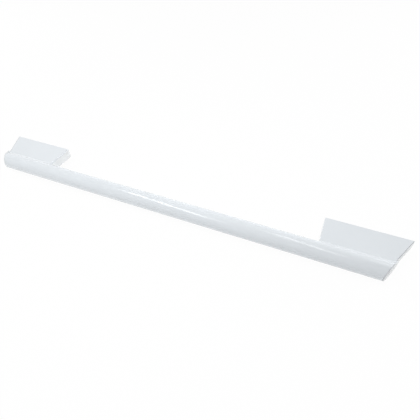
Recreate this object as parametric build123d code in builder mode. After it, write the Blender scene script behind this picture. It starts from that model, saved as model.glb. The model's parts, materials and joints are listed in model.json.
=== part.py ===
from build123d import *

import os
from math import cos, radians, sin, sqrt, tan

# Oven door handle: a coated bar with two flat wings, carried by two moulded end brackets.
# X runs along the bar, Y points from the bar to the door and Z is up. The origin lies on the
# door's face, midway between the brackets and level with the bar's axis. Sizes are in mm.

# The whole handle
overall_length = 595.0  # between the mitre lines at the wings' back edges
reach = 49.2  # from the door's face to the bar's axis
mitre_angle = 26.0  # slant of both ends, which are wider at the door

# Bar and wings, one extruded profile
bar_diameter = 23.0
bar_wall = 1.8
wing_width = 100.0  # along the door, at the wing's back edge
wing_thickness = 1.8
wing_top = 8.0  # height of the wing's top face over the bar's axis
wing_setback = 0.2  # keeps the coated back edge off the door
crease_radius = 6.0  # where the wing's top face runs into the bar
root_radius = 0.8  # where its underside does
root_relief = 1.6  # channel in the bracket that clears this rounding
edge_bevel = 0.3  # on the wings' top edges
bar_overrun = 1.3  # the bar's ends pass the mitre line by this, square to the cut
tail_reach = 11.8  # behind the bar's axis, the wing's root still ends with the bar

# Joint lines between the profile and the mouldings
seam_gap = 0.18
saddle_clearance = 0.15

# End brackets
bracket_drop = 6.5  # underside below the bar's axis
bracket_wall = 2.5
back_wall = 3.0
bracket_floor = 2.5
saddle_wall = 3.5  # behind the bar, where its screws bear
end_wall_proud = 0.85  # the end wall stands outside the mitre line by this
lip_drop = 0.4  # top of the lip below the wing's top face
corner_radius = 0.6
underside_bevel = 0.5
cavity_radius = 1.2
rib_thickness = 1.6
rib_pitch = 30.0

# Brass inserts for the door's screws
door_screw_edge = 14.5  # inner ones, from the bracket's inner side
door_screw_corner = 25.5  # outer ones, from the end of the overall length
insert_diameter = 7.0
insert_length = 9.0
insert_bore = 4.2
insert_clearance = 0.05
insert_collar = 1.0
knurl_polygons = 3  # hexagons turned on each other, whose corners make the knurl
tip_room = 4.0  # beyond the insert, for the end of a long screw
tip_clearance = 0.6
boss_wall = 1.6

# Screws that hold the bar
bar_screw_edge = 29.5  # inner ones, from the bracket's inner side
plug_screw_gap = 1.4  # between the outer ones and the end plugs
screw_length = 10.0
screw_core = 3.3
screw_head = 7.6
screw_head_height = 2.7
recess_length = 4.2
recess_width = 1.0
recess_depth = 1.5
shank_clearance = 0.6
pilot_clearance = 0.05
head_clearance = 0.5

# End plugs
flange_thickness = 1.0
flange_bevel = 0.25
shoulder_proud = 1.5  # the flange fills the crease, and stands above the wing there by this
shoulder_radius = 1.5
shoulder_inset = 0.8  # from the back of the wing's root
neck_inset = 0.6  # depth of the shadow line below the bar's skin
plug_length = 15.0
plug_wall = 1.8
plug_clearance = 0.2
crush_rib_count = 4
crush_rib_radius = 0.5
crush_clearance = 0.03

# Places worked out from the sizes above
bar_radius = bar_diameter / 2
bore_radius = bar_radius - bar_wall
bar_y = -reach
half_length = overall_length / 2
blank_half = half_length + bar_diameter
wing_back_y = -wing_setback
wing_inner_x = half_length - wing_width
wing_under = wing_top - wing_thickness
tail_y = bar_y + tail_reach
floor_top = bracket_floor - bracket_drop
saddle_radius = bar_radius + saddle_clearance
web_y = bar_y + saddle_radius + saddle_wall
boss_depth = insert_length + tip_room + boss_wall
plug_inner = bar_overrun + seam_gap
plug_outer = plug_inner + flange_thickness
spigot_radius = bore_radius - plug_clearance
mitre_slope = tan(radians(mitre_angle))
mitre_normal = Vector(cos(radians(mitre_angle)), -sin(radians(mitre_angle)), 0)
back_face = Plane(origin=(0, 0, 0), x_dir=(1, 0, 0), z_dir=(0, 1, 0))
bar_rear = back_face.offset(bar_y + bar_radius)
door_screw_xs = [wing_inner_x + door_screw_edge, half_length - door_screw_corner]


def mitre_plane(outward, side=1):
    """The mitre plane of the right (1) or left (-1) end, moved outward square to itself."""
    origin = Vector(half_length, wing_back_y, 0) + mitre_normal * outward
    return Plane(
        origin=(side * origin.X, origin.Y, 0),
        x_dir=(0, 0, 1),
        z_dir=(side * mitre_normal.X, mitre_normal.Y, 0),
    )


def mitre_x(y, outward):
    """Where the right mitre plane, moved outward, crosses a line along X at this y."""
    return half_length + (y - wing_back_y) * mitre_slope + outward / cos(radians(mitre_angle))


def end_plan(inner_x, front_y, back_y, outward):
    """Corners of a right-hand plan that the mitre plane cuts off at its outer end."""
    return [
        (inner_x, front_y),
        (mitre_x(front_y, outward), front_y),
        (mitre_x(back_y, outward), back_y),
        (inner_x, back_y),
    ]


def mitred_rod(radius, inboard, outboard, shoulder=None):
    """A rod on the bar's axis between two planes, drawn out to a shoulder's corner if it has one."""
    with BuildPart() as rod:
        with BuildSketch(Plane.YZ):
            with Locations((bar_y, 0)):
                Circle(radius)
            if shoulder:
                with Locations(shoulder):
                    Circle(shoulder_radius)
                make_hull()
        extrude(amount=blank_half)
        split(bisect_by=outboard, keep=Keep.BOTTOM)
        split(bisect_by=inboard, keep=Keep.TOP)
    return rod.part


def write(part, name):
    """Label a finished piece and write its STEP file."""
    part.label = name
    export_step(part, f"parts/{name}.step")


os.makedirs("parts", exist_ok=True)

spigot_start = mitre_x(bar_y, bar_overrun) - plug_length
bar_screw_xs = [
    wing_inner_x + bar_screw_edge,
    spigot_start - plug_screw_gap - screw_core / 2 - pilot_clearance,
]

# Handle profile: a tube over the whole length, with a wing left standing at each end
with BuildPart() as handle_profile:
    with BuildSketch(Plane.YZ):
        with Locations((bar_y, 0)):
            Circle(bar_radius)
    extrude(amount=blank_half, both=True)
    # The wing ends with the mouldings, but its root runs on and ends with the bar
    with BuildSketch(Plane.XY.offset(wing_under)):
        with BuildLine():
            Polyline(*end_plan(wing_inner_x, bar_y, wing_back_y, -seam_gap / 2), close=True)
        make_face()
        with BuildLine():
            Polyline(
                (wing_inner_x, bar_y),
                (blank_half, bar_y),
                (blank_half, tail_y),
                (wing_inner_x, tail_y),
                close=True,
            )
        make_face()
        mirror(about=Plane.YZ)
    extrude(amount=wing_thickness)
    top_rims = handle_profile.faces().filter_by(Axis.Z).group_by(Axis.Z)[-1].edges()
    chamfer(top_rims.filter_by(lambda edge: edge.center().Y > tail_y + edge_bevel), length=edge_bevel)
    for height, radius in ((-1, crease_radius), (0, root_radius)):
        junctions = handle_profile.edges().filter_by(Axis.X).filter_by(
            lambda edge: edge.center().Z > wing_under / 2 and edge.center().Y < tail_y - edge_bevel
        )
        fillet(junctions.group_by(Axis.Z)[height], radius=radius)
    for side in (1, -1):
        split(bisect_by=mitre_plane(bar_overrun, side), keep=Keep.BOTTOM)
    with BuildSketch(Plane.YZ):
        with Locations((bar_y, 0)):
            Circle(bore_radius)
    extrude(amount=blank_half, both=True, mode=Mode.SUBTRACT)
    with BuildSketch(bar_rear):
        with Locations(*[(side * x, 0) for side in (-1, 1) for x in bar_screw_xs]):
            Circle(screw_core / 2 + pilot_clearance)
    extrude(amount=-2 * bar_wall, mode=Mode.SUBTRACT)
write(handle_profile.part, "handle_profile")

# End bracket: a moulded tray under the wing, closed on top by it and open to nothing
with BuildPart() as bracket_right:
    with BuildSketch(Plane.XY.offset(-bracket_drop)):
        with BuildLine():
            Polyline(*end_plan(wing_inner_x, bar_y, 0, end_wall_proud), close=True)
        make_face()
    extrude(amount=bracket_drop + wing_under)
    with BuildSketch(Plane.YZ):
        with Locations((bar_y + sqrt(bar_radius**2 - wing_under**2), wing_under)):
            Circle(root_relief)
    extrude(amount=blank_half, mode=Mode.SUBTRACT)
    # The end wall's lip covers the wing's cut edge
    with BuildSketch(Plane.XY.offset(wing_under)):
        with BuildLine():
            Polyline(*end_plan(wing_inner_x, tail_y + seam_gap, 0, end_wall_proud), close=True)
        make_face()
        with BuildLine():
            Polyline(*end_plan(wing_inner_x, tail_y, 0, seam_gap / 2), close=True)
        make_face(mode=Mode.SUBTRACT)
    extrude(amount=wing_thickness - lip_drop)
    back_corners = bracket_right.edges().filter_by(Axis.Z).group_by(Axis.Y)[-1].sort_by(Axis.X)
    fillet([back_corners[0], back_corners[-1]], radius=corner_radius)
    chamfer(bracket_right.faces().sort_by(Axis.Z)[0].edges(), length=underside_bevel)
    # Cavity, open upwards
    with BuildSketch(Plane.XY.offset(floor_top)) as cavity:
        with BuildLine():
            Polyline(
                *end_plan(
                    wing_inner_x + bracket_wall, web_y, -back_wall, end_wall_proud - bracket_wall
                ),
                close=True,
            )
        make_face()
        fillet(cavity.vertices(), radius=cavity_radius)
    extrude(amount=wing_under - floor_top, mode=Mode.SUBTRACT)
    # Ribs, and the blocks that the inserts and the bar's screws go into
    with BuildSketch(Plane.XY.offset(floor_top)) as stiffening:
        cavity_depth = -back_wall - web_y
        cavity_mid_y = (web_y - back_wall) / 2
        with Locations((half_length - wing_width / 2, cavity_mid_y)):
            Rectangle(wing_width, rib_thickness)
        mid_rib_x = (bar_screw_xs[0] + bar_screw_xs[1]) / 2
        with Locations(*[(mid_rib_x + step * rib_pitch, cavity_mid_y) for step in (-1, 0, 1)]):
            Rectangle(rib_thickness, cavity_depth + bracket_wall)
        with Locations(*[(x, cavity_mid_y) for x in bar_screw_xs]):
            Rectangle(screw_head + 2 * (head_clearance + boss_wall), cavity_depth + bracket_wall)
        with Locations(*[(x, 0) for x in door_screw_xs]):
            Rectangle(
                insert_diameter + 2 * boss_wall, boss_depth, align=(Align.CENTER, Align.MAX)
            )
        with BuildLine():
            Polyline(
                *end_plan(
                    wing_inner_x + bracket_wall / 2,
                    web_y - saddle_wall / 2,
                    -back_wall / 2,
                    end_wall_proud - bracket_wall / 2,
                ),
                close=True,
            )
        make_face(mode=Mode.INTERSECT)
    extrude(amount=wing_under - floor_top)
    # Holes for the inserts
    with BuildSketch(back_face):
        with Locations(*[(x, 0) for x in door_screw_xs]):
            Circle(insert_diameter / 2 + insert_clearance)
    extrude(amount=-insert_length, mode=Mode.SUBTRACT)
    with BuildSketch(back_face):
        with Locations(*[(x, 0) for x in door_screw_xs]):
            Circle(insert_bore / 2 + tip_clearance)
    extrude(amount=-(insert_length + tip_room), mode=Mode.SUBTRACT)
    # Pockets and holes for the bar's screws
    with BuildSketch(back_face):
        with Locations(*[(x, 0) for x in bar_screw_xs]):
            Circle(screw_head / 2 + head_clearance)
    extrude(amount=web_y, mode=Mode.SUBTRACT)
    with BuildSketch(back_face):
        with Locations(*[(x, 0) for x in bar_screw_xs]):
            Circle(screw_core / 2 + shank_clearance)
    extrude(amount=bar_y, mode=Mode.SUBTRACT)
    # Saddle that the bar seats in
    with BuildSketch(Plane.YZ):
        with Locations((bar_y, 0)):
            Circle(saddle_radius)
    extrude(amount=blank_half, mode=Mode.SUBTRACT)
write(bracket_right.part, "bracket_right")

with BuildPart() as bracket_left:
    mirror(bracket_right.part, about=Plane.YZ)
write(bracket_left.part, "bracket_left")

# End plug: a slanted flange, a recessed neck that shows as a dark line, and a hollow spigot
shoulder = (
    tail_y - shoulder_inset - shoulder_radius,
    wing_top + shoulder_proud - shoulder_radius,
)
spigot_end = Plane.YZ.offset(spigot_start)
flange = mitred_rod(bar_radius, mitre_plane(plug_inner), mitre_plane(plug_outer), shoulder)
neck = mitred_rod(bar_radius - neck_inset, mitre_plane(bar_overrun), mitre_plane(plug_inner))
spigot = mitred_rod(spigot_radius, spigot_end, mitre_plane(bar_overrun))
hollow = mitred_rod(spigot_radius - plug_wall, spigot_end, mitre_plane(bar_overrun - plug_wall))
with BuildPart() as end_plug_right:
    add(flange)
    chamfer(end_plug_right.faces().sort_by(Axis.X)[-1].edges(), length=flange_bevel)
    add(neck)
    add(spigot)
    with BuildSketch(spigot_end):
        with Locations((bar_y, 0)):
            with PolarLocations(bore_radius - crush_clearance - crush_rib_radius, crush_rib_count):
                Circle(crush_rib_radius)
    extrude(amount=plug_length - bore_radius * mitre_slope - plug_wall)
    add(hollow, mode=Mode.SUBTRACT)
write(end_plug_right.part, "end_plug_right")

with BuildPart() as end_plug_left:
    mirror(end_plug_right.part, about=Plane.YZ)
write(end_plug_left.part, "end_plug_left")

# Bar screw: pan head with a cross recess, its thread drawn as a plain core
with BuildPart() as bar_screw:
    with BuildSketch(back_face.offset(web_y)):
        Circle(screw_head / 2)
    extrude(amount=screw_head_height)
    with BuildSketch(back_face.offset(web_y + screw_head_height)):
        Rectangle(recess_length, recess_width)
        Rectangle(recess_width, recess_length)
    extrude(amount=-recess_depth, mode=Mode.SUBTRACT)
    with BuildSketch(back_face.offset(web_y)):
        Circle(screw_core / 2)
    extrude(amount=-screw_length)

# Door insert: knurled brass, with a smooth collar flush with the bracket's back face
with BuildPart() as door_insert:
    with BuildSketch(back_face):
        Circle(insert_diameter / 2)
    extrude(amount=-insert_collar)
    with BuildSketch(back_face):
        for turn in range(knurl_polygons):
            RegularPolygon(insert_diameter / 2, 6, rotation=turn * 60 / knurl_polygons)
    extrude(amount=-insert_length)
    with BuildSketch(back_face):
        Circle(insert_bore / 2)
    extrude(amount=-insert_length, mode=Mode.SUBTRACT)

# Screws and inserts at their places, an inner and an outer one in each bracket
for fastener, fastener_name, places in (
    (bar_screw.part, "bar_screw", bar_screw_xs),
    (door_insert.part, "door_insert", door_screw_xs),
):
    for side, side_name in ((-1, "left"), (1, "right")):
        for x, place_name in zip(places, ("inner", "outer")):
            with BuildPart() as placed:
                with Locations((side * x, 0, 0)):
                    add(fastener)
            write(placed.part, f"{fastener_name}_{side_name}_{place_name}")
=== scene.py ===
"""Looks, light and camera for an oven door handle.

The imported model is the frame. X runs along the bar, Y points from the bar to the door and Z
is up. The origin lies on the door's face, level with the bar's axis. Sizes are in metres.
"""

import json
import logging
import math
from dataclasses import dataclass
from enum import Enum

import bpy
from mathutils import Euler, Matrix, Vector

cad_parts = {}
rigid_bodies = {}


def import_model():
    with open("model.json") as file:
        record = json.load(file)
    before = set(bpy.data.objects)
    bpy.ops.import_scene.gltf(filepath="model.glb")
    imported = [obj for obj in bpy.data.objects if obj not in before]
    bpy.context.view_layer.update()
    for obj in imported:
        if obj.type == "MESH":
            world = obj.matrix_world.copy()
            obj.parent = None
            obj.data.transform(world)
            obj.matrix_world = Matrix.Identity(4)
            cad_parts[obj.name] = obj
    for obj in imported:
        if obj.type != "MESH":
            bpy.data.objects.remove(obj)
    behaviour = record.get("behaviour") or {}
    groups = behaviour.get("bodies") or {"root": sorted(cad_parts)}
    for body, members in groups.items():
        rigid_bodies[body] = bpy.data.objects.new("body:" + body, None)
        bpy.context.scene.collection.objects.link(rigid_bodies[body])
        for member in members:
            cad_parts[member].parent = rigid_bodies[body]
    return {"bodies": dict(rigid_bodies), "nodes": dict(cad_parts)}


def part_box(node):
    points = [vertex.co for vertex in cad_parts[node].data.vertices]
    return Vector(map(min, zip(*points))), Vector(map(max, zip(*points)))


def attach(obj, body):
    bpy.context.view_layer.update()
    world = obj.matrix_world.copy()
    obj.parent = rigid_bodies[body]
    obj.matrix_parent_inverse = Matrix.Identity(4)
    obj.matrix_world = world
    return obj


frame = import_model()

MM = 0.001
log = logging.getLogger("door_handle")

Triple = tuple[float, float, float]
Colour = Triple
WHITE = (1.0, 1.0, 1.0, 1.0)


class Side(Enum):
    """The two ends of the handle, as the sign of their X."""

    LEFT = -1
    RIGHT = 1


class Place(Enum):
    """Where a fastener sits in its bracket."""

    INNER = "inner"
    OUTER = "outer"


class NodeSheet:
    """Adds nodes to a tree in columns, and joins their sockets."""

    COLUMN = 220
    ROW = 260

    def __init__(self, tree: bpy.types.NodeTree) -> None:
        """Start on an empty tree.

        Args:
            tree: The shader or geometry node tree to fill.
        """
        self.tree = tree
        self.tree.nodes.clear()

    def add(self, kind: str, column: int, row: int = 0, **settings: object) -> bpy.types.Node:
        """Add one node.

        Args:
            kind: Blender's type name of the node.
            column: Its place from left to right.
            row: Its place from top to bottom.
            **settings: Properties of the node, such as its operation.

        Returns:
            The new node.
        """
        node = self.tree.nodes.new(kind)
        node.location = (column * self.COLUMN, -row * self.ROW)
        for name, value in settings.items():
            setattr(node, name, value)
        return node

    def join(self, source: bpy.types.NodeSocket, *targets: bpy.types.NodeSocket) -> None:
        """Link one output to one or more inputs."""
        for target in targets:
            self.tree.links.new(source, target)


def new_group(name: str, inputs: dict[str, float | Triple], outputs: list[str]) -> NodeSheet:
    """Make an empty shader group with float outputs.

    Args:
        name: Name of the group.
        inputs: Input names with their defaults. Three numbers make a vector socket.
        outputs: Output names.

    Returns:
        A sheet whose tree holds the group's input and output nodes.
    """
    tree = bpy.data.node_groups.new(name, "ShaderNodeTree")
    for label, default in inputs.items():
        kind = "NodeSocketVector" if isinstance(default, tuple) else "NodeSocketFloat"
        socket = tree.interface.new_socket(label, in_out="INPUT", socket_type=kind)
        socket.default_value = default
    for label in outputs:
        tree.interface.new_socket(label, in_out="OUTPUT", socket_type="NodeSocketFloat")
    sheet = NodeSheet(tree)
    sheet.add("NodeGroupInput", -4)
    sheet.add("NodeGroupOutput", 6)
    return sheet


def group_ends(sheet: NodeSheet) -> tuple[bpy.types.Node, bpy.types.Node]:
    """Return a group's input and output nodes."""
    return sheet.tree.nodes["Group Input"], sheet.tree.nodes["Group Output"]


def texture_scale(sheet: NodeSheet, size: bpy.types.NodeSocket) -> bpy.types.NodeSocket:
    """Turn the size of a pattern into the scale that a texture node takes.

    Args:
        sheet: Sheet of the group's tree.
        size: The socket that gives the size.

    Returns:
        The socket that holds the scale.
    """
    inverse = sheet.add("ShaderNodeMath", -3, 0, operation="DIVIDE")
    inverse.inputs[0].default_value = 1.0
    sheet.join(size, inverse.inputs[1])
    return inverse.outputs[0]


def mirrored_place(
    sheet: NodeSheet,
) -> tuple[bpy.types.NodeSocket, bpy.types.NodeSocket, bpy.types.NodeSocket]:
    """Give a point's X, Y and Z, with an X that is the same on both ends of the handle.

    Args:
        sheet: Sheet of the group's tree.

    Returns:
        The sockets that hold X without its sign, Y and Z.
    """
    place = sheet.add("ShaderNodeTexCoord", -4, 1)
    split = sheet.add("ShaderNodeSeparateXYZ", -3, 1)
    side = sheet.add("ShaderNodeMath", -2, 1, operation="ABSOLUTE")
    sheet.join(place.outputs["Object"], split.inputs[0])
    sheet.join(split.outputs["X"], side.inputs[0])
    return side.outputs[0], split.outputs["Y"], split.outputs["Z"]


class Effects:
    """The shader groups that several finishes share."""

    MOTTLE_DETAIL = 4.0
    MOTTLE_ROUGHNESS = 0.55
    MOTTLE_SPAN = (0.3, 0.7)
    WAVE_DETAIL = 1.0
    RIPPLE_DETAIL = 0.0
    RIPPLES_PER_WAVE = 3.7
    GRAIN_DETAIL = 2.0
    PIT_SPAN = (0.1, 0.6)

    def __init__(self) -> None:
        """Build every group once."""
        self.mottle = self._mottle()
        self.coat_waves = self._coat_waves()
        self.mould_grain = self._mould_grain()
        self.lathe_rings = self._lathe_rings()
        self.gap_shade_band = self._joint_band()

    @staticmethod
    def _mottle() -> bpy.types.ShaderNodeTree:
        """Slow, soft unevenness between two values, for roughness and tint."""
        sheet = new_group("soft_mottle", {"Patch Size": 0.02, "Low": 0.0, "High": 1.0}, ["Value"])
        start, end = group_ends(sheet)
        place = sheet.add("ShaderNodeTexCoord", -4, 1)
        noise = sheet.add("ShaderNodeTexNoise", -2, 1)
        noise.inputs["Detail"].default_value = Effects.MOTTLE_DETAIL
        noise.inputs["Roughness"].default_value = Effects.MOTTLE_ROUGHNESS
        spread = sheet.add("ShaderNodeMapRange", 0, 0, interpolation_type="SMOOTHSTEP")
        spread.inputs["From Min"].default_value = Effects.MOTTLE_SPAN[0]
        spread.inputs["From Max"].default_value = Effects.MOTTLE_SPAN[1]
        sheet.join(place.outputs["Object"], noise.inputs["Vector"])
        sheet.join(texture_scale(sheet, start.outputs["Patch Size"]), noise.inputs["Scale"])
        sheet.join(noise.outputs["Fac"], spread.inputs["Value"])
        sheet.join(start.outputs["Low"], spread.inputs["To Min"])
        sheet.join(start.outputs["High"], spread.inputs["To Max"])
        sheet.join(spread.outputs["Result"], end.inputs["Value"])
        return sheet.tree

    @staticmethod
    def _coat_waves() -> bpy.types.ShaderNodeTree:
        """The faint waves of a baked coating, with a finer ripple on top of them."""
        sheet = new_group("coat_waves", {"Wave Size": 0.004, "Ripple Share": 0.06}, ["Height"])
        start, end = group_ends(sheet)
        place = sheet.add("ShaderNodeTexCoord", -4, 1)
        scale = texture_scale(sheet, start.outputs["Wave Size"])
        finer = sheet.add("ShaderNodeMath", -2, 2, operation="MULTIPLY")
        finer.inputs[1].default_value = Effects.RIPPLES_PER_WAVE
        waves = sheet.add("ShaderNodeTexNoise", -1, 0)
        waves.inputs["Detail"].default_value = Effects.WAVE_DETAIL
        ripple = sheet.add("ShaderNodeTexNoise", -1, 2)
        ripple.inputs["Detail"].default_value = Effects.RIPPLE_DETAIL
        share = sheet.add("ShaderNodeMath", 2, 0, operation="MULTIPLY_ADD")
        sheet.join(scale, waves.inputs["Scale"], finer.inputs[0])
        sheet.join(finer.outputs[0], ripple.inputs["Scale"])
        sheet.join(place.outputs["Object"], waves.inputs["Vector"], ripple.inputs["Vector"])
        sheet.join(ripple.outputs["Fac"], share.inputs[0])
        sheet.join(start.outputs["Ripple Share"], share.inputs[1])
        sheet.join(waves.outputs["Fac"], share.inputs[2])
        sheet.join(share.outputs[0], end.inputs["Height"])
        return sheet.tree

    @staticmethod
    def _mould_grain() -> bpy.types.ShaderNodeTree:
        """The fine pitted grain that an eroded mould leaves on plastic."""
        sheet = new_group("mould_grain", {"Grain Size": 0.0004, "Pit Share": 0.5}, ["Height"])
        start, end = group_ends(sheet)
        place = sheet.add("ShaderNodeTexCoord", -4, 1)
        scale = texture_scale(sheet, start.outputs["Grain Size"])
        cells = sheet.add("ShaderNodeTexVoronoi", -1, 0, feature="SMOOTH_F1")
        grain = sheet.add("ShaderNodeTexNoise", -1, 2)
        grain.inputs["Detail"].default_value = Effects.GRAIN_DETAIL
        pits = sheet.add("ShaderNodeMapRange", 1, 0)
        pits.inputs["From Min"].default_value = Effects.PIT_SPAN[0]
        pits.inputs["From Max"].default_value = Effects.PIT_SPAN[1]
        blend = sheet.add("ShaderNodeMath", 3, 0, operation="MULTIPLY_ADD")
        sheet.join(scale, cells.inputs["Scale"], grain.inputs["Scale"])
        sheet.join(place.outputs["Object"], cells.inputs["Vector"], grain.inputs["Vector"])
        sheet.join(cells.outputs["Distance"], pits.inputs["Value"])
        sheet.join(pits.outputs["Result"], blend.inputs[0])
        sheet.join(start.outputs["Pit Share"], blend.inputs[1])
        sheet.join(grain.outputs["Fac"], blend.inputs[2])
        sheet.join(blend.outputs[0], end.inputs["Height"])
        return sheet.tree

    @staticmethod
    def _lathe_rings() -> bpy.types.ShaderNodeTree:
        """Turning marks round the axes of the fasteners, four of which stand in a row along X."""
        defaults = {"Middle": 0.242, "Offset": 0.03, "Pitch": 0.0002}
        sheet = new_group("lathe_rings", defaults, ["Rings"])
        start, end = group_ends(sheet)
        side, _, level = mirrored_place(sheet)
        from_middle = sheet.add("ShaderNodeMath", -1, 0, operation="SUBTRACT")
        folded = sheet.add("ShaderNodeMath", 0, 0, operation="ABSOLUTE")
        from_axis = sheet.add("ShaderNodeMath", 1, 0, operation="SUBTRACT")
        flat = sheet.add("ShaderNodeCombineXYZ", 2, 0)
        radius = sheet.add("ShaderNodeVectorMath", 3, 0, operation="LENGTH")
        turns = sheet.add("ShaderNodeMath", 4, 0, operation="DIVIDE")
        rings = sheet.add("ShaderNodeMath", 5, 0, operation="PINGPONG")
        rings.inputs[1].default_value = 1.0
        sheet.join(side, from_middle.inputs[0])
        sheet.join(start.outputs["Middle"], from_middle.inputs[1])
        sheet.join(from_middle.outputs[0], folded.inputs[0])
        sheet.join(folded.outputs[0], from_axis.inputs[0])
        sheet.join(start.outputs["Offset"], from_axis.inputs[1])
        sheet.join(from_axis.outputs[0], flat.inputs["X"])
        sheet.join(level, flat.inputs["Z"])
        sheet.join(flat.outputs[0], radius.inputs[0])
        sheet.join(radius.outputs["Value"], turns.inputs[0])
        sheet.join(start.outputs["Pitch"], turns.inputs[1])
        sheet.join(turns.outputs[0], rings.inputs[0])
        sheet.join(rings.outputs[0], end.inputs["Rings"])
        return sheet.tree

    @staticmethod
    def _joint_band() -> bpy.types.ShaderNodeTree:
        """A thin band of painted shade on both ends alike, round a plane and on one side of a
        second plane.
        """
        defaults = {
            "Normal": (0.0, 0.0, 1.0),
            "Place": 0.0,
            "Half Width": 0.0002,
            "Limit Normal": (0.0, 0.0, 1.0),
            "Limit Place": 0.0,
        }
        sheet = new_group("gap_shade_band", defaults, ["Mask"])
        start, end = group_ends(sheet)
        folded = sheet.add("ShaderNodeCombineXYZ", -1, 1)
        along = sheet.add("ShaderNodeVectorMath", 0, 0, operation="DOT_PRODUCT")
        past = sheet.add("ShaderNodeVectorMath", 0, 2, operation="DOT_PRODUCT")
        offset = sheet.add("ShaderNodeMath", 1, 0, operation="SUBTRACT")
        away = sheet.add("ShaderNodeMath", 2, 0, operation="ABSOLUTE")
        fade = sheet.add("ShaderNodeMapRange", 3, 0, interpolation_type="SMOOTHSTEP")
        fade.inputs["To Min"].default_value = 1.0
        fade.inputs["To Max"].default_value = 0.0
        inside = sheet.add("ShaderNodeMath", 3, 2, operation="GREATER_THAN")
        both = sheet.add("ShaderNodeMath", 5, 0, operation="MULTIPLY")
        for source, target in zip(mirrored_place(sheet), folded.inputs):
            sheet.join(source, target)
        sheet.join(folded.outputs[0], along.inputs[0], past.inputs[0])
        sheet.join(start.outputs["Normal"], along.inputs[1])
        sheet.join(start.outputs["Limit Normal"], past.inputs[1])
        sheet.join(along.outputs["Value"], offset.inputs[0])
        sheet.join(start.outputs["Place"], offset.inputs[1])
        sheet.join(offset.outputs[0], away.inputs[0])
        sheet.join(away.outputs[0], fade.inputs["Value"])
        sheet.join(start.outputs["Half Width"], fade.inputs["From Max"])
        sheet.join(past.outputs["Value"], inside.inputs[0])
        sheet.join(start.outputs["Limit Place"], inside.inputs[1])
        sheet.join(fade.outputs["Result"], both.inputs[0])
        sheet.join(inside.outputs[0], both.inputs[1])
        sheet.join(both.outputs[0], end.inputs["Mask"])
        return sheet.tree


def start_material(name: str) -> tuple[bpy.types.Material, NodeSheet, bpy.types.Node]:
    """Make a material with a Principled shader joined to its output.

    Args:
        name: Name of the material.

    Returns:
        The material, the sheet of its node tree and the Principled node.
    """
    material = bpy.data.materials.new(name)
    material.use_nodes = True
    sheet = NodeSheet(material.node_tree)
    shader = sheet.add("ShaderNodeBsdfPrincipled", 2)
    output = sheet.add("ShaderNodeOutputMaterial", 4)
    sheet.join(shader.outputs["BSDF"], output.inputs["Surface"])
    return material, sheet, shader


def add_effect(
    sheet: NodeSheet, group: bpy.types.ShaderNodeTree, row: int, values: dict[str, float | Triple]
) -> bpy.types.Node:
    """Place a shared shader group in a material with its own values.

    Args:
        sheet: Sheet of the material's tree.
        group: The shared group.
        row: Its place from top to bottom.
        values: Values for the group's inputs.

    Returns:
        The group node.
    """
    node = sheet.add("ShaderNodeGroup", -2, row, node_tree=group)
    for name, value in values.items():
        node.inputs[name].default_value = value
    return node


def add_tint(
    sheet: NodeSheet, shader: bpy.types.Node, low: Colour, high: Colour, mask: bpy.types.NodeSocket
) -> bpy.types.NodeSocket:
    """Let a mask run the base colour between two near shades.

    Args:
        sheet: Sheet of the material's tree.
        shader: The Principled node.
        low: Colour where the mask is 0.
        high: Colour where the mask is 1.
        mask: The socket that gives the mask.

    Returns:
        The socket that holds the colour.
    """
    mix = sheet.add("ShaderNodeMix", 0, 0, data_type="RGBA")
    mix.inputs["A"].default_value = (*low, 1.0)
    mix.inputs["B"].default_value = (*high, 1.0)
    sheet.join(mask, mix.inputs["Factor"])
    colour = mix.outputs["Result"]
    sheet.join(colour, shader.inputs["Base Color"])
    return colour


def add_roughness(
    sheet: NodeSheet,
    shader: bpy.types.Node,
    mottle: bpy.types.ShaderNodeTree,
    patch_size: float,
    low: float,
    high: float,
) -> None:
    """Let the roughness change slowly between two values.

    Args:
        sheet: Sheet of the material's tree.
        shader: The Principled node.
        mottle: The shared group that makes the soft patches.
        patch_size: Size of the patches, in metres.
        low: Least roughness.
        high: Most roughness.
    """
    rough = add_effect(sheet, mottle, 1, {"Patch Size": patch_size, "Low": low, "High": high})
    sheet.join(rough.outputs["Value"], shader.inputs["Roughness"])


def add_bump(
    sheet: NodeSheet,
    shader: bpy.types.Node,
    height: bpy.types.NodeSocket,
    depth: float,
    strength: float,
) -> None:
    """Let a height stand out of the surface.

    Args:
        sheet: Sheet of the material's tree.
        shader: The Principled node.
        height: The socket that gives the height, about 0 to 1.
        depth: What a height of 1 stands for, in metres.
        strength: Share of the bump that shows.
    """
    bump = sheet.add("ShaderNodeBump", 0, 3)
    bump.inputs["Distance"].default_value = depth
    bump.inputs["Strength"].default_value = strength
    sheet.join(height, bump.inputs["Height"])
    sheet.join(bump.outputs["Normal"], shader.inputs["Normal"])


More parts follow.
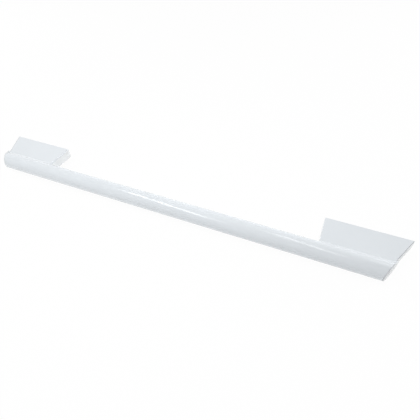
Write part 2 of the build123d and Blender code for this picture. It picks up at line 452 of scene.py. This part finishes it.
@dataclass(frozen=True)
class WhiteCoating:
    """Baked white coating on the extruded profile, semi-gloss."""

    shade_low: Colour = (0.740, 0.779, 0.813)
    shade_high: Colour = (0.755, 0.794, 0.828)
    roughness_low: float = 0.13
    roughness_high: float = 0.18
    coat_weight: float = 0.5
    coat_roughness: float = 0.10
    patch_size: float = 35 * MM
    gloss_patch_size: float = 8.75 * MM
    wave_size: float = 4.0 * MM
    wave_depth: float = 0.003 * MM
    wave_strength: float = 0.6

    def material(self, effects: Effects) -> bpy.types.Material:
        """Build the material.

        Args:
            effects: The shared shader groups.

        Returns:
            The finished material.
        """
        material, sheet, shader = start_material("white_coating")
        shader.inputs["Coat Weight"].default_value = self.coat_weight
        shader.inputs["Coat Roughness"].default_value = self.coat_roughness
        tint = add_effect(sheet, effects.mottle, 0, {"Patch Size": self.patch_size})
        add_tint(sheet, shader, self.shade_low, self.shade_high, tint.outputs["Value"])
        rough = (self.gloss_patch_size, self.roughness_low, self.roughness_high)
        add_roughness(sheet, shader, effects.mottle, *rough)
        waves = add_effect(sheet, effects.coat_waves, 3, {"Wave Size": self.wave_size})
        add_bump(sheet, shader, waves.outputs["Height"], self.wave_depth, self.wave_strength)
        return material


@dataclass(frozen=True)
class Joint:
    """A joint line of the mouldings, as a plane, and a second plane that it ends at."""

    normal: Triple
    place: float
    half_width: float
    limit_normal: Triple
    limit_place: float

    def mask(self, sheet: NodeSheet, effects: Effects, row: int) -> bpy.types.NodeSocket:
        """Add the joint's mask to a material.

        Args:
            sheet: Sheet of the material's tree.
            effects: The shared shader groups.
            row: Its place from top to bottom.

        Returns:
            The socket that holds the mask.
        """
        values = {
            "Normal": self.normal,
            "Place": self.place,
            "Half Width": self.half_width,
            "Limit Normal": self.limit_normal,
            "Limit Place": self.limit_place,
        }
        return add_effect(sheet, effects.gap_shade_band, row, values).outputs["Mask"]


@dataclass(frozen=True)
class MouldingJoints:
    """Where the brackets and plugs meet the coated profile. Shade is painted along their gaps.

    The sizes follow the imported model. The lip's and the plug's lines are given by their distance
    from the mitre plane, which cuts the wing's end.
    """

    half_length: float = 297.5 * MM
    mitre_degrees: float = 26.0
    wing_back: float = -0.2 * MM
    wing_inner: float = 197.5 * MM
    wing_under: float = 6.2 * MM
    lip_line: float = 0.09 * MM
    plug_line: float = 1.39 * MM
    plug_line_end: float = 41.0 * MM
    line_half_width: float = 0.18 * MM
    line_overlap: float = 0.1 * MM
    wall_half_width: float = 0.40 * MM
    wall_overlap: float = 0.5 * MM

    def all(self) -> list[Joint]:
        """List the joints of one end: wing to lip, bar to plug, and wing to wall."""
        angle = math.radians(self.mitre_degrees)
        across = (math.cos(angle), -math.sin(angle), 0.0)
        mitre = self.half_length * across[0] + self.wing_back * across[1]
        upward = (0.0, 0.0, 1.0)
        inward = (-1.0, 0.0, 0.0)
        forward = (0.0, -1.0, 0.0)
        lip_start = self.wing_under - self.line_overlap
        wall_start = -self.wing_inner - self.wall_overlap
        line = self.line_half_width
        return [
            Joint(across, mitre + self.lip_line, line, upward, lip_start),
            Joint(across, mitre + self.plug_line, line, forward, self.plug_line_end),
            Joint(upward, self.wing_under, self.wall_half_width, inward, wall_start),
        ]


@dataclass(frozen=True)
class WhiteMoulding:
    """White moulded plastic with a fine grain for brackets and end plugs, with shade painted at
    its joints.
    """

    shade_low: Colour = (0.765, 0.785, 0.795)
    shade_high: Colour = (0.790, 0.808, 0.816)
    roughness_low: float = 0.36
    roughness_high: float = 0.46
    patch_size: float = 12 * MM
    gloss_patch_size: float = 4 * MM
    grain_size: float = 0.45 * MM
    grain_depth: float = 0.010 * MM
    grain_strength: float = 0.5
    joints: MouldingJoints = MouldingJoints()
    # Painted shade: a dark colour along the joint gaps, in place of their shadow.
    painted_gap_shade: Colour = (0.30, 0.31, 0.33)

    def material(self, effects: Effects) -> bpy.types.Material:
        """Build the material.

        Args:
            effects: The shared shader groups.

        Returns:
            The finished material.
        """
        material, sheet, shader = start_material("white_moulding")
        tint = add_effect(sheet, effects.mottle, 0, {"Patch Size": self.patch_size})
        colour = add_tint(sheet, shader, self.shade_low, self.shade_high, tint.outputs["Value"])
        self._paint_gap_shade(sheet, shader, effects, colour)
        rough = (self.gloss_patch_size, self.roughness_low, self.roughness_high)
        add_roughness(sheet, shader, effects.mottle, *rough)
        grain = add_effect(sheet, effects.mould_grain, 3, {"Grain Size": self.grain_size})
        add_bump(sheet, shader, grain.outputs["Height"], self.grain_depth, self.grain_strength)
        return material

    def _paint_gap_shade(
        self,
        sheet: NodeSheet,
        shader: bpy.types.Node,
        effects: Effects,
        colour: bpy.types.NodeSocket,
    ) -> None:
        """Paint shade into the base colour along the joints, in place of the shadow in their gaps.

        Args:
            sheet: Sheet of the material's tree.
            shader: The Principled node.
            effects: The shared shader groups.
            colour: The colour away from the joints.
        """
        mask = None
        for row, joint in enumerate(self.joints.all(), start=4):
            band = joint.mask(sheet, effects, row)
            if mask is None:
                mask = band
                continue
            larger = sheet.add("ShaderNodeMath", -1, row, operation="MAXIMUM")
            sheet.join(mask, larger.inputs[0])
            sheet.join(band, larger.inputs[1])
            mask = larger.outputs[0]
        # Painted shade: the joint mask darkens the base colour where the gaps lie in shadow.
        mix = sheet.add("ShaderNodeMix", 1, 0, data_type="RGBA")
        mix.inputs["B"].default_value = (*self.painted_gap_shade, 1.0)
        sheet.join(colour, mix.inputs["A"])
        sheet.join(mask, mix.inputs["Factor"])
        sheet.join(mix.outputs["Result"], shader.inputs["Base Color"])


@dataclass(frozen=True)
class TurnedMetal:
    """Bare metal with turning marks round the fasteners' axes."""

    name: str
    shade_low: Colour
    shade_high: Colour
    axis_offset: float
    bracket_middle: float = 242 * MM
    roughness_low: float = 0.24
    roughness_high: float = 0.38
    ring_pitch: float = 0.18 * MM
    ring_depth: float = 0.006 * MM
    ring_strength: float = 0.5
    patch_size: float = 2.5 * MM
    gloss_patch_size: float = 1.25 * MM

    def material(self, effects: Effects) -> bpy.types.Material:
        """Build the material.

        Args:
            effects: The shared shader groups.

        Returns:
            The finished material.
        """
        material, sheet, shader = start_material(self.name)
        shader.inputs["Metallic"].default_value = 1.0
        tint = add_effect(sheet, effects.mottle, 0, {"Patch Size": self.patch_size})
        add_tint(sheet, shader, self.shade_low, self.shade_high, tint.outputs["Value"])
        rough = (self.gloss_patch_size, self.roughness_low, self.roughness_high)
        add_roughness(sheet, shader, effects.mottle, *rough)
        values = {
            "Middle": self.bracket_middle,
            "Offset": self.axis_offset,
            "Pitch": self.ring_pitch,
        }
        rings = add_effect(sheet, effects.lathe_rings, 3, values)
        add_bump(sheet, shader, rings.outputs["Rings"], self.ring_depth, self.ring_strength)
        return material


def dress(node_name: str, material: bpy.types.Material) -> None:
    """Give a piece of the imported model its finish.

    Args:
        node_name: Name of the node.
        material: The finish.
    """
    mesh = frame["nodes"][node_name].data
    mesh.materials.clear()
    mesh.materials.append(material)
    log.info("dressed %s in %s", node_name, material.name)


@dataclass
class GripBar:
    """The coated profile and the plugs in its slanted ends."""

    coating: bpy.types.Material
    moulding: bpy.types.Material

    def build(self) -> None:
        """Dress the profile and both plugs."""
        dress("handle_profile", self.coating)
        for side in Side:
            dress(f"end_plug_{side.name.lower()}", self.moulding)


@dataclass
class EndBrackets:
    """The two moulded brackets under the wings."""

    moulding: bpy.types.Material

    def build(self) -> None:
        """Dress both brackets."""
        for side in Side:
            dress(f"bracket_{side.name.lower()}", self.moulding)


class ThreadTree:
    """A geometry node tree that sets a helical ridge at each vertex, along Y."""

    RIDGE_SIDES = 4
    INPUTS: dict[str, tuple[str, float]] = {
        "Radius": ("NodeSocketFloat", 1.65 * MM),
        "Pitch": ("NodeSocketFloat", 1.4 * MM),
        "Turns": ("NodeSocketFloat", 4.0),
        "Ridge Height": ("NodeSocketFloat", 0.35 * MM),
        "Steps Per Turn": ("NodeSocketInt", 20),
    }

    def __init__(self) -> None:
        """Build the tree once."""
        self.tree = bpy.data.node_groups.new("helical_thread", "GeometryNodeTree")
        face = self.tree.interface
        face.new_socket("Geometry", in_out="INPUT", socket_type="NodeSocketGeometry")
        for name, (kind, default) in self.INPUTS.items():
            socket = face.new_socket(name, in_out="INPUT", socket_type=kind)
            socket.default_value = default
        face.new_socket("Metal", in_out="INPUT", socket_type="NodeSocketMaterial")
        face.new_socket("Geometry", in_out="OUTPUT", socket_type="NodeSocketGeometry")
        self._fill(NodeSheet(self.tree))

    @staticmethod
    def _fill(sheet: NodeSheet) -> None:
        """Lay out the nodes.

        Args:
            sheet: Sheet of the empty tree.
        """
        start = sheet.add("NodeGroupInput", -4)
        end = sheet.add("NodeGroupOutput", 7)
        steps = sheet.add("ShaderNodeMath", -3, 1, operation="MULTIPLY")
        height = sheet.add("ShaderNodeMath", -3, 2, operation="MULTIPLY")
        helix = sheet.add("GeometryNodeCurveSpiral", -2, 1)
        upright = sheet.add("GeometryNodeSetCurveNormal", -1, 1, mode="Z_UP")
        ridge = sheet.add("GeometryNodeCurvePrimitiveCircle", -1, 2)
        ridge.inputs["Resolution"].default_value = ThreadTree.RIDGE_SIDES
        sweep = sheet.add("GeometryNodeCurveToMesh", 1, 1)
        sweep.inputs["Fill Caps"].default_value = True
        turn = sheet.add("GeometryNodeTransform", 2, 1)
        turn.inputs["Rotation"].default_value = (math.pi / 2, 0.0, 0.0)
        place = sheet.add("GeometryNodeInstanceOnPoints", 3)
        real = sheet.add("GeometryNodeRealizeInstances", 4)
        metal = sheet.add("GeometryNodeSetMaterial", 5)
        sheet.join(start.outputs["Steps Per Turn"], steps.inputs[0])
        sheet.join(start.outputs["Turns"], steps.inputs[1], height.inputs[0])
        sheet.join(start.outputs["Turns"], helix.inputs["Rotations"])
        sheet.join(start.outputs["Pitch"], height.inputs[1])
        sheet.join(steps.outputs[0], helix.inputs["Resolution"])
        sheet.join(start.outputs["Radius"], helix.inputs["Start Radius"])
        sheet.join(start.outputs["Radius"], helix.inputs["End Radius"])
        sheet.join(height.outputs[0], helix.inputs["Height"])
        sheet.join(helix.outputs["Curve"], upright.inputs["Curve"])
        sheet.join(start.outputs["Ridge Height"], ridge.inputs["Radius"])
        sheet.join(upright.outputs["Curve"], sweep.inputs["Curve"])
        sheet.join(ridge.outputs["Curve"], sweep.inputs["Profile Curve"])
        sheet.join(sweep.outputs["Mesh"], turn.inputs["Geometry"])
        sheet.join(start.outputs["Geometry"], place.inputs["Points"])
        sheet.join(turn.outputs["Geometry"], place.inputs["Instance"])
        sheet.join(place.outputs["Instances"], real.inputs["Geometry"])
        sheet.join(real.outputs["Geometry"], metal.inputs["Geometry"])
        sheet.join(start.outputs["Metal"], metal.inputs["Material"])
        sheet.join(metal.outputs["Geometry"], end.inputs["Geometry"])

    def make(
        self,
        name: str,
        starts: list[Vector],
        metal: bpy.types.Material,
        values: dict[str, float],
    ) -> bpy.types.Object:
        """Make one piece that holds a thread for each start.

        Args:
            name: Name of the new piece.
            starts: Where each thread starts. It runs from there towards the bar.
            metal: Its finish.
            values: Values for the tree's inputs.

        Returns:
            A plain mesh object at the origin.
        """
        seed = bpy.data.meshes.new(f"{name}_starts")
        seed.from_pydata([tuple(start) for start in starts], [], [])
        holder = bpy.data.objects.new(f"{name}_holder", seed)
        bpy.context.scene.collection.objects.link(holder)
        modifier = holder.modifiers.new("threads", "NODES")
        modifier.node_group = self.tree
        items = self.tree.interface.items_tree
        keys = {item.name: item.identifier for item in items if item.in_out == "INPUT"}
        for label, value in {**values, "Metal": metal}.items():
            modifier[keys[label]] = value
        graph = bpy.context.evaluated_depsgraph_get()
        mesh = bpy.data.meshes.new_from_object(holder.evaluated_get(graph))
        holder.modifiers.remove(modifier)
        bpy.data.objects.remove(holder)
        mesh.name = name
        if not mesh.materials:
            mesh.materials.append(metal)
        piece = bpy.data.objects.new(name, mesh)
        bpy.context.scene.collection.objects.link(piece)
        return piece


@dataclass
class ThreadedFasteners:
    """Four like fasteners, two in each bracket, that each carry a thread along Y."""

    metal: bpy.types.Material
    tree: ThreadTree
    radius: float
    pitch: float
    ridge_height: float

    def dress_and_thread(self, kind: str, before: float, after: float) -> bpy.types.Object:
        """Dress the four fasteners and make their threads.

        Args:
            kind: What the names of the four nodes begin with.
            before: Plain length between the end near the door and the thread.
            after: Plain length between the thread and the other end.

        Returns:
            One piece with the four threads.
        """
        starts = []
        length = 0.0
        for side in Side:
            for place in Place:
                name = f"{kind}_{side.name.lower()}_{place.value}"
                dress(name, self.metal)
                low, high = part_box(name)
                middle = (low + high) / 2
                length = high.y - low.y - before - after
                starts.append(Vector((middle.x, high.y - before, middle.z)))
        values = {
            "Radius": self.radius,
            "Pitch": self.pitch,
            "Turns": length / self.pitch,
            "Ridge Height": self.ridge_height,
        }
        piece = self.tree.make(f"{kind}_threads", starts, self.metal, values)
        log.info("made %s with %d faces", piece.name, len(piece.data.polygons))
        return piece


@dataclass
class BarScrews(ThreadedFasteners):
    """The screws that hold the bar to the brackets, with their coarse threads."""

    radius: float = 1.65 * MM
    pitch: float = 1.4 * MM
    ridge_height: float = 0.33 * MM
    head_height: float = 2.7 * MM
    plain_length: float = 3.6 * MM
    tip_length: float = 0.5 * MM

    def build(self) -> None:
        """Dress the four screws and cut a thread on each."""
        neck_end = self.head_height + self.plain_length
        piece = self.dress_and_thread("bar_screw", neck_end, self.tip_length)
        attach(piece, "root")


@dataclass
class DoorInserts(ThreadedFasteners):
    """The knurled brass inserts that take the door's screws, with their fine threads."""

    radius: float = 2.1 * MM
    pitch: float = 0.8 * MM
    ridge_height: float = 0.14 * MM
    lead_in: float = 0.5 * MM

    def build(self) -> None:
        """Dress the four inserts and run a thread through each bore."""
        piece = self.dress_and_thread("door_insert", self.lead_in, self.lead_in)
        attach(piece, "root")


def hang_lamp(name: str, size: tuple[float, float], power: float) -> bpy.types.Object:
    """Add a rectangular lamp that shines straight down.

    Args:
        name: Name of the lamp.
        size: Its two sides, in metres.
        power: Its power in watts.

    Returns:
        The lamp's object, at the origin.
    """
    lamp = bpy.data.lights.new(name, "AREA")
    lamp.shape = "RECTANGLE"
    lamp.size, lamp.size_y = size
    lamp.energy = power
    holder = bpy.data.objects.new(name, lamp)
    bpy.context.scene.collection.objects.link(holder)
    log.info("hung lamp %s", name)
    return holder


@dataclass(frozen=True)
class SoftBox:
    """A large soft lamp that faces a point. It lights the surfaces, which don't mirror it."""

    name: str
    place: Triple
    target: Triple
    width: float
    height: float
    power: float

    def build(self) -> None:
        """Add the lamp to the scene."""
        holder = hang_lamp(self.name, (self.width, self.height), self.power)
        holder.location = self.place
        aim = Vector(self.target) - Vector(self.place)
        holder.rotation_euler = aim.to_track_quat("-Z", "Y").to_euler()
        holder.visible_glossy = False


@dataclass(frozen=True)
class CeilingTube:
    """A long narrow lamp that hangs level and shines straight down."""

    name: str
    middle: tuple[float, float]
    power: float
    height: float = 1.5
    heading_degrees: float = -64.5
    length: float = 1.15
    width: float = 0.16

    def build(self) -> None:
        """Add the lamp to the scene."""
        holder = hang_lamp(self.name, (self.length, self.width), self.power)
        holder.location = (*self.middle, self.height)
        holder.rotation_euler = (0.0, 0.0, math.radians(self.heading_degrees))


@dataclass
class Studio:
    """A white sweep, even light from a dome, a few soft boxes and three tubes on the ceiling."""

    floor_height: float = -11.8 * MM
    floor_size: float = 8.0
    floor_shade: float = 0.93
    dome_strength: float = 0.36
    shadow_share: float = 0.035
    lamps: tuple[SoftBox | CeilingTube, ...] = (
        SoftBox(
            "box_over_middle",
            place=(0.0, -0.05, 0.45),
            target=(0.0, -0.05, 0.0),
            width=0.3,
            height=0.3,
            power=0.60,
        ),
        SoftBox(
            "box_left",
            place=(-1.4, 0.1, 0.7),
            target=(0.0, 0.0, 0.0),
            width=0.8,
            height=0.8,
            power=8.6,
        ),
        SoftBox(
            "box_front_low",
            place=(-0.5, -1.2, 0.15),
            target=(-0.1, 0.0, 0.0),
            width=1.2,
            height=0.25,
            power=2.6,
        ),
        SoftBox(
            "box_right_low",
            place=(1.1, 0.7, 0.25),
            target=(-0.1, 0.0, 0.0),
            width=0.9,
            height=0.3,
            power=8.9,
        ),
        CeilingTube("tube_left", middle=(-0.665, -0.475), power=4.6),
        CeilingTube("tube_middle", middle=(0.185, -0.01), power=1.6, length=0.85),
        CeilingTube("tube_right", middle=(0.773, 0.867), power=1.2, length=0.85),
    )

    def build(self) -> None:
        """Make the floor, the world and the lamps."""
        self._floor()
        self._world()
        for lamp in self.lamps:
            lamp.build()
        bpy.context.scene.view_settings.view_transform = "Standard"

    @staticmethod
    def _seen_directly(sheet: NodeSheet) -> bpy.types.NodeSocket:
        """Give 1 for rays from the camera, a reflection or a clear piece, and 0 for the others.

        Args:
            sheet: Sheet of the material's or the world's tree.

        Returns:
            The socket that holds the answer.
        """
        rays = sheet.add("ShaderNodeLightPath", -3, 2)
        first = sheet.add("ShaderNodeMath", -2, 2, operation="MAXIMUM")
        second = sheet.add("ShaderNodeMath", -1, 2, operation="MAXIMUM")
        sheet.join(rays.outputs["Is Camera Ray"], first.inputs[0])
        sheet.join(rays.outputs["Is Glossy Ray"], first.inputs[1])
        sheet.join(first.outputs[0], second.inputs[0])
        sheet.join(rays.outputs["Is Transmission Ray"], second.inputs[1])
        return second.outputs[0]

    def _floor(self) -> None:
        """Lay the pale floor. It is white to the camera, and clear from underneath."""
        half = self.floor_size / 2
        outline = ((-half, -half), (half, -half), (half, half), (-half, half))
        corners = [(x, y, self.floor_height) for x, y in outline]
        mesh = bpy.data.meshes.new("floor")
        mesh.from_pydata(corners, [], [(0, 1, 2, 3)])
        floor = bpy.data.objects.new("floor", mesh)
        bpy.context.scene.collection.objects.link(floor)
        material = bpy.data.materials.new("pale_floor")
        material.use_nodes = True
        sheet = NodeSheet(material.node_tree)
        matt = sheet.add("ShaderNodeBsdfDiffuse", 0, 1)
        shade = self.floor_shade
        matt.inputs["Color"].default_value = (shade, shade, shade, 1.0)
        glow = sheet.add("ShaderNodeEmission", 0, 0)
        seen = self._seen_directly(sheet)
        share = sheet.add("ShaderNodeMath", 0, 2, operation="MULTIPLY")
        share.inputs[1].default_value = 1.0 - self.shadow_share
        top = sheet.add("ShaderNodeMixShader", 2, 0)
        clear = sheet.add("ShaderNodeBsdfTransparent", 2, 1)
        geometry = sheet.add("ShaderNodeNewGeometry", 2, 2)
        both = sheet.add("ShaderNodeMixShader", 3, 0)
        output = sheet.add("ShaderNodeOutputMaterial", 4, 0)
        sheet.join(seen, share.inputs[0])
        sheet.join(share.outputs[0], top.inputs[0])
        sheet.join(matt.outputs[0], top.inputs[1])
        sheet.join(glow.outputs[0], top.inputs[2])
        sheet.join(geometry.outputs["Backfacing"], both.inputs[0])
        sheet.join(top.outputs[0], both.inputs[1])
        sheet.join(clear.outputs[0], both.inputs[2])
        sheet.join(both.outputs[0], output.inputs["Surface"])
        mesh.materials.append(material)

    def _world(self) -> None:
        """Light the scene from a plain dome, which shows as white."""
        world = bpy.data.worlds.new("white_dome")
        world.use_nodes = True
        bpy.context.scene.world = world
        sheet = NodeSheet(world.node_tree)
        light = sheet.add("ShaderNodeBackground", 0, 0)
        light.inputs["Color"].default_value = WHITE
        light.inputs["Strength"].default_value = self.dome_strength
        backdrop = sheet.add("ShaderNodeBackground", 0, 1)
        backdrop.inputs["Color"].default_value = WHITE
        seen = self._seen_directly(sheet)
        mix = sheet.add("ShaderNodeMixShader", 1, 0)
        output = sheet.add("ShaderNodeOutputWorld", 2, 0)
        sheet.join(seen, mix.inputs[0])
        sheet.join(light.outputs[0], mix.inputs[1])
        sheet.join(backdrop.outputs[0], mix.inputs[2])
        sheet.join(mix.outputs[0], output.inputs["Surface"])


@dataclass(frozen=True)
class PhotoCamera:
    """The photograph's camera, found by fitting the handle's corners."""

    place: Triple = (0.18081, -0.31259, 0.30890)
    turn_degrees: Triple = (44.5987, 1.0650, 22.7953)
    lens_mm: float = 28.591
    sensor_mm: float = 36.0
    nearest: float = 0.01
    farthest: float = 50.0

    def build(self) -> None:
        """Make the camera and set it as the scene's."""
        data = bpy.data.cameras.new("photo_camera")
        data.lens = self.lens_mm
        data.sensor_width = self.sensor_mm
        data.clip_start = self.nearest
        data.clip_end = self.farthest
        camera = bpy.data.objects.new("photo_camera", data)
        camera.location = self.place
        camera.rotation_euler = Euler([math.radians(angle) for angle in self.turn_degrees], "XYZ")
        bpy.context.scene.collection.objects.link(camera)
        bpy.context.scene.camera = camera
        log.info("set up the camera")


def clear_start_scene() -> None:
    """Remove what Blender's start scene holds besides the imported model."""
    kept = set(frame["nodes"].values()) | set(frame["bodies"].values())
    for thing in list(bpy.data.objects):
        if thing not in kept:
            bpy.data.objects.remove(thing)


def main() -> None:
    """Dress the model, add what it lacks, and set up the studio."""
    logging.basicConfig(level=logging.INFO, format="%(name)s: %(message)s")
    clear_start_scene()
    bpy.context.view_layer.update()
    PhotoCamera().build()
    effects = Effects()
    coating = WhiteCoating().material(effects)
    moulding = WhiteMoulding().material(effects)
    steel = TurnedMetal(
        "zinc_steel",
        shade_low=(0.58, 0.60, 0.62),
        shade_high=(0.68, 0.69, 0.70),
        axis_offset=15 * MM,
    ).material(effects)
    brass = TurnedMetal(
        "turned_brass",
        shade_low=(0.70, 0.52, 0.24),
        shade_high=(0.80, 0.62, 0.32),
        axis_offset=30 * MM,
    ).material(effects)
    threads = ThreadTree()
    GripBar(coating, moulding).build()
    EndBrackets(moulding).build()
    BarScrews(steel, threads).build()
    DoorInserts(brass, threads).build()
    Studio().build()


if __name__ == "__main__":
    main()
